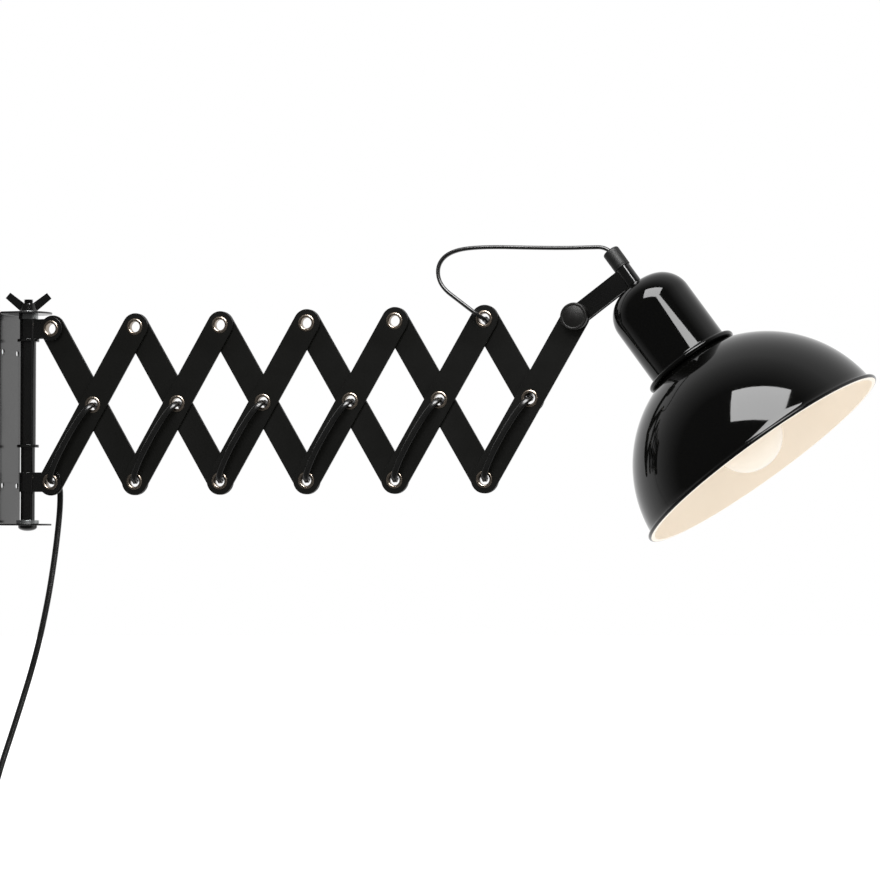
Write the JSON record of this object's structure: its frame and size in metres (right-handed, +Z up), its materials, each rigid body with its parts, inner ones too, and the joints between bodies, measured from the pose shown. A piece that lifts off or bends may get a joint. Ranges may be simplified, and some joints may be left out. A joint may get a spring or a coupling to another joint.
{
  "type": "scissor arm wall lamp",
  "caption": "Wall lamp with a domed shade on a scissor arm of flat bars that slides on a wall post, the cable woven through its hollow rivets.",
  "frame": {"origin": "middle of the wall bracket's back face", "axes": "+X away from the wall along the arm, +Z up, the knob side is -Y"},
  "size_m": [0.7353, 0.2457, 0.6229],
  "materials": {
    "bracket_paint": "satin",
    "post_steel": "dull zinc",
    "eyelet_metal": "polished nickel",
    "bar_paint": "satin black",
    "strap_paint": "satin black",
    "knob_plastic": "matt",
    "stem_paint": "satin",
    "grip_plastic": "matt",
    "shade_enamel": "gloss enamel, black outside and white inside",
    "holder_plastic": "matt",
    "bulb_white": "frosted white",
    "cap_metal": "plain",
    "cable_black": "satin, flat two-core",
    "tie_plastic": "plain",
    "plug_plastic": "plain",
    "pin_metal": "nickel plated"
  },
  "bodies": {
    "bracket": {"wall_bracket": "bracket_paint", "post_rod": "post_steel", "post_sleeve": "bracket_paint", "post_rings": "post_steel", "post_washers": "post_steel"},
    "wing": {"wing_nut": "post_steel"},
    "arm_base": {"upper_clamp": "bracket_paint", "upper_eyelet": "eyelet_metal"},
    "back_1": {"back_bar_1": "bar_paint", "back_cable_1": "cable_black"},
    "front_1": {"front_bar_1": "bar_paint", "eyelets_1": "eyelet_metal", "front_cable_1": "cable_black"},
    "back_2": {"back_bar_2": "bar_paint", "back_cable_2": "cable_black"},
    "front_2": {"front_bar_2": "bar_paint", "eyelets_2": "eyelet_metal", "front_cable_2": "cable_black"},
    "back_3": {"back_bar_3": "bar_paint", "back_cable_3": "cable_black"},
    "front_3": {"front_bar_3": "bar_paint", "eyelets_3": "eyelet_metal", "front_cable_3": "cable_black"},
    "back_4": {"back_bar_4": "bar_paint", "back_cable_4": "cable_black"},
    "front_4": {"front_bar_4": "bar_paint", "eyelets_4": "eyelet_metal", "front_cable_4": "cable_black"},
    "back_5": {"back_bar_5": "bar_paint", "back_cable_5": "cable_black"},
    "front_5": {"front_bar_5": "bar_paint", "eyelets_5": "eyelet_metal", "front_cable_5": "cable_black"},
    "back_6": {"back_bar_6": "bar_paint", "back_cable_6": "cable_black", "head_loop_1": "cable_black"},
    "front_6": {"front_bar_6": "bar_paint", "eyelets_6": "eyelet_metal", "front_cable_6": "cable_black"},
    "slider": {"lower_clamp": "bracket_paint", "lower_eyelet": "eyelet_metal", "mains_lead": "cable_black", "mains_coil": "cable_black", "coil_tie": "tie_plastic", "plug_body": "plug_plastic", "plug_pins": "pin_metal"},
    "head_arm": {"head_strap": "strap_paint", "head_spacer": "post_steel", "knob_nut": "post_steel", "head_loop_2": "cable_black"},
    "hand_knob": {"knob": "knob_plastic", "knob_screw": "post_steel"},
    "shade": {"stem_pipe": "stem_paint", "cord_grip": "grip_plastic", "neck_cup": "shade_enamel", "shade_dome": "shade_enamel", "lampholder": "holder_plastic", "bulb_glass": "bulb_white", "bulb_cap": "cap_metal", "stem_nut": "post_steel"}
  },
  "joints": [
    {"name": "arm_swivel", "type": "hinge", "parent": "bracket", "child": "arm_base", "pos_m": [0.018, 0, 0], "axis": [0, 0, 1], "range_deg": [-75, 75], "deforming": ["mains_lead"]},
    {"name": "wing_nut_turn", "type": "hinge", "parent": "bracket", "child": "wing", "pos_m": [0.018, 0, 0.0912], "axis": [0, 0, 1], "continuous": true},
    {"name": "extend", "type": "hinge", "parent": "arm_base", "child": "back_1", "pos_m": [0.04, 0, 0.0758], "axis": [0, -1, 0], "range_deg": [-21, 13], "deforming": ["head_loop_1", "head_loop_2", "mains_lead"]},
    {"name": "cross_1", "type": "hinge", "parent": "back_1", "child": "front_1", "pos_m": [0.07806, 0, 0.01118], "axis": [0, 1, 0], "range_deg": [-42, 26]},
    {"name": "top_1", "type": "hinge", "parent": "front_1", "child": "back_2", "pos_m": [0.11613, 0, 0.0758], "axis": [0, -1, 0], "range_deg": [-42, 26]},
    {"name": "cross_2", "type": "hinge", "parent": "back_2", "child": "front_2", "pos_m": [0.1542, 0, 0.01118], "axis": [0, 1, 0], "range_deg": [-42, 26]},
    {"name": "top_2", "type": "hinge", "parent": "front_2", "child": "back_3", "pos_m": [0.19226, 0, 0.0758], "axis": [0, -1, 0], "range_deg": [-42, 26]},
    {"name": "cross_3", "type": "hinge", "parent": "back_3", "child": "front_3", "pos_m": [0.23033, 0, 0.01118], "axis": [0, 1, 0], "range_deg": [-42, 26]},
    {"name": "top_3", "type": "hinge", "parent": "front_3", "child": "back_4", "pos_m": [0.26839, 0, 0.0758], "axis": [0, -1, 0], "range_deg": [-42, 26]},
    {"name": "cross_4", "type": "hinge", "parent": "back_4", "child": "front_4", "pos_m": [0.30646, 0, 0.01118], "axis": [0, 1, 0], "range_deg": [-42, 26]},
    {"name": "top_4", "type": "hinge", "parent": "front_4", "child": "back_5", "pos_m": [0.34452, 0, 0.0758], "axis": [0, -1, 0], "range_deg": [-42, 26]},
    {"name": "cross_5", "type": "hinge", "parent": "back_5", "child": "front_5", "pos_m": [0.38259, 0, 0.01118], "axis": [0, 1, 0], "range_deg": [-42, 26]},
    {"name": "top_5", "type": "hinge", "parent": "front_5", "child": "back_6", "pos_m": [0.42065, 0, 0.0758], "axis": [0, -1, 0], "range_deg": [-42, 26]},
    {"name": "cross_6", "type": "hinge", "parent": "back_6", "child": "front_6", "pos_m": [0.45872, 0, 0.01118], "axis": [0, 1, 0], "range_deg": [-42, 26], "deforming": ["head_loop_1", "head_loop_2"]},
    {"name": "slider_pivot", "type": "hinge", "parent": "front_1", "child": "slider", "pos_m": [0.04, 0, -0.05344], "axis": [0, -1, 0], "range_deg": [-21, 13], "deforming": ["mains_lead"]},
    {"name": "head_tilt", "type": "hinge", "parent": "front_6", "child": "head_arm", "pos_m": [0.49678, 0, 0.0758], "axis": [0, -1, 0], "range_deg": [-40, 60], "deforming": ["head_loop_2", "head_loop_1"]},
    {"name": "knob_turn", "type": "hinge", "parent": "head_arm", "child": "hand_knob", "pos_m": [0.49678, 0, 0.0758], "axis": [0, -1, 0], "continuous": true},
    {"name": "shade_turn", "type": "hinge", "parent": "head_arm", "child": "shade", "pos_m": [0.5399, 0, 0.10747], "axis": [-0.592, 0, 0.8059], "range_deg": [-170, 170], "deforming": ["head_loop_2"]}
  ],
  "couplings": [
    {"joint": "cross_1", "follows": "extend", "ratio": 2},
    {"joint": "top_1", "follows": "extend", "ratio": 2},
    {"joint": "cross_2", "follows": "extend", "ratio": 2},
    {"joint": "top_2", "follows": "extend", "ratio": 2},
    {"joint": "cross_3", "follows": "extend", "ratio": 2},
    {"joint": "top_3", "follows": "extend", "ratio": 2},
    {"joint": "cross_4", "follows": "extend", "ratio": 2},
    {"joint": "top_4", "follows": "extend", "ratio": 2},
    {"joint": "cross_5", "follows": "extend", "ratio": 2},
    {"joint": "top_5", "follows": "extend", "ratio": 2},
    {"joint": "cross_6", "follows": "extend", "ratio": 2},
    {"joint": "slider_pivot", "follows": "extend", "ratio": 1}
  ]
}
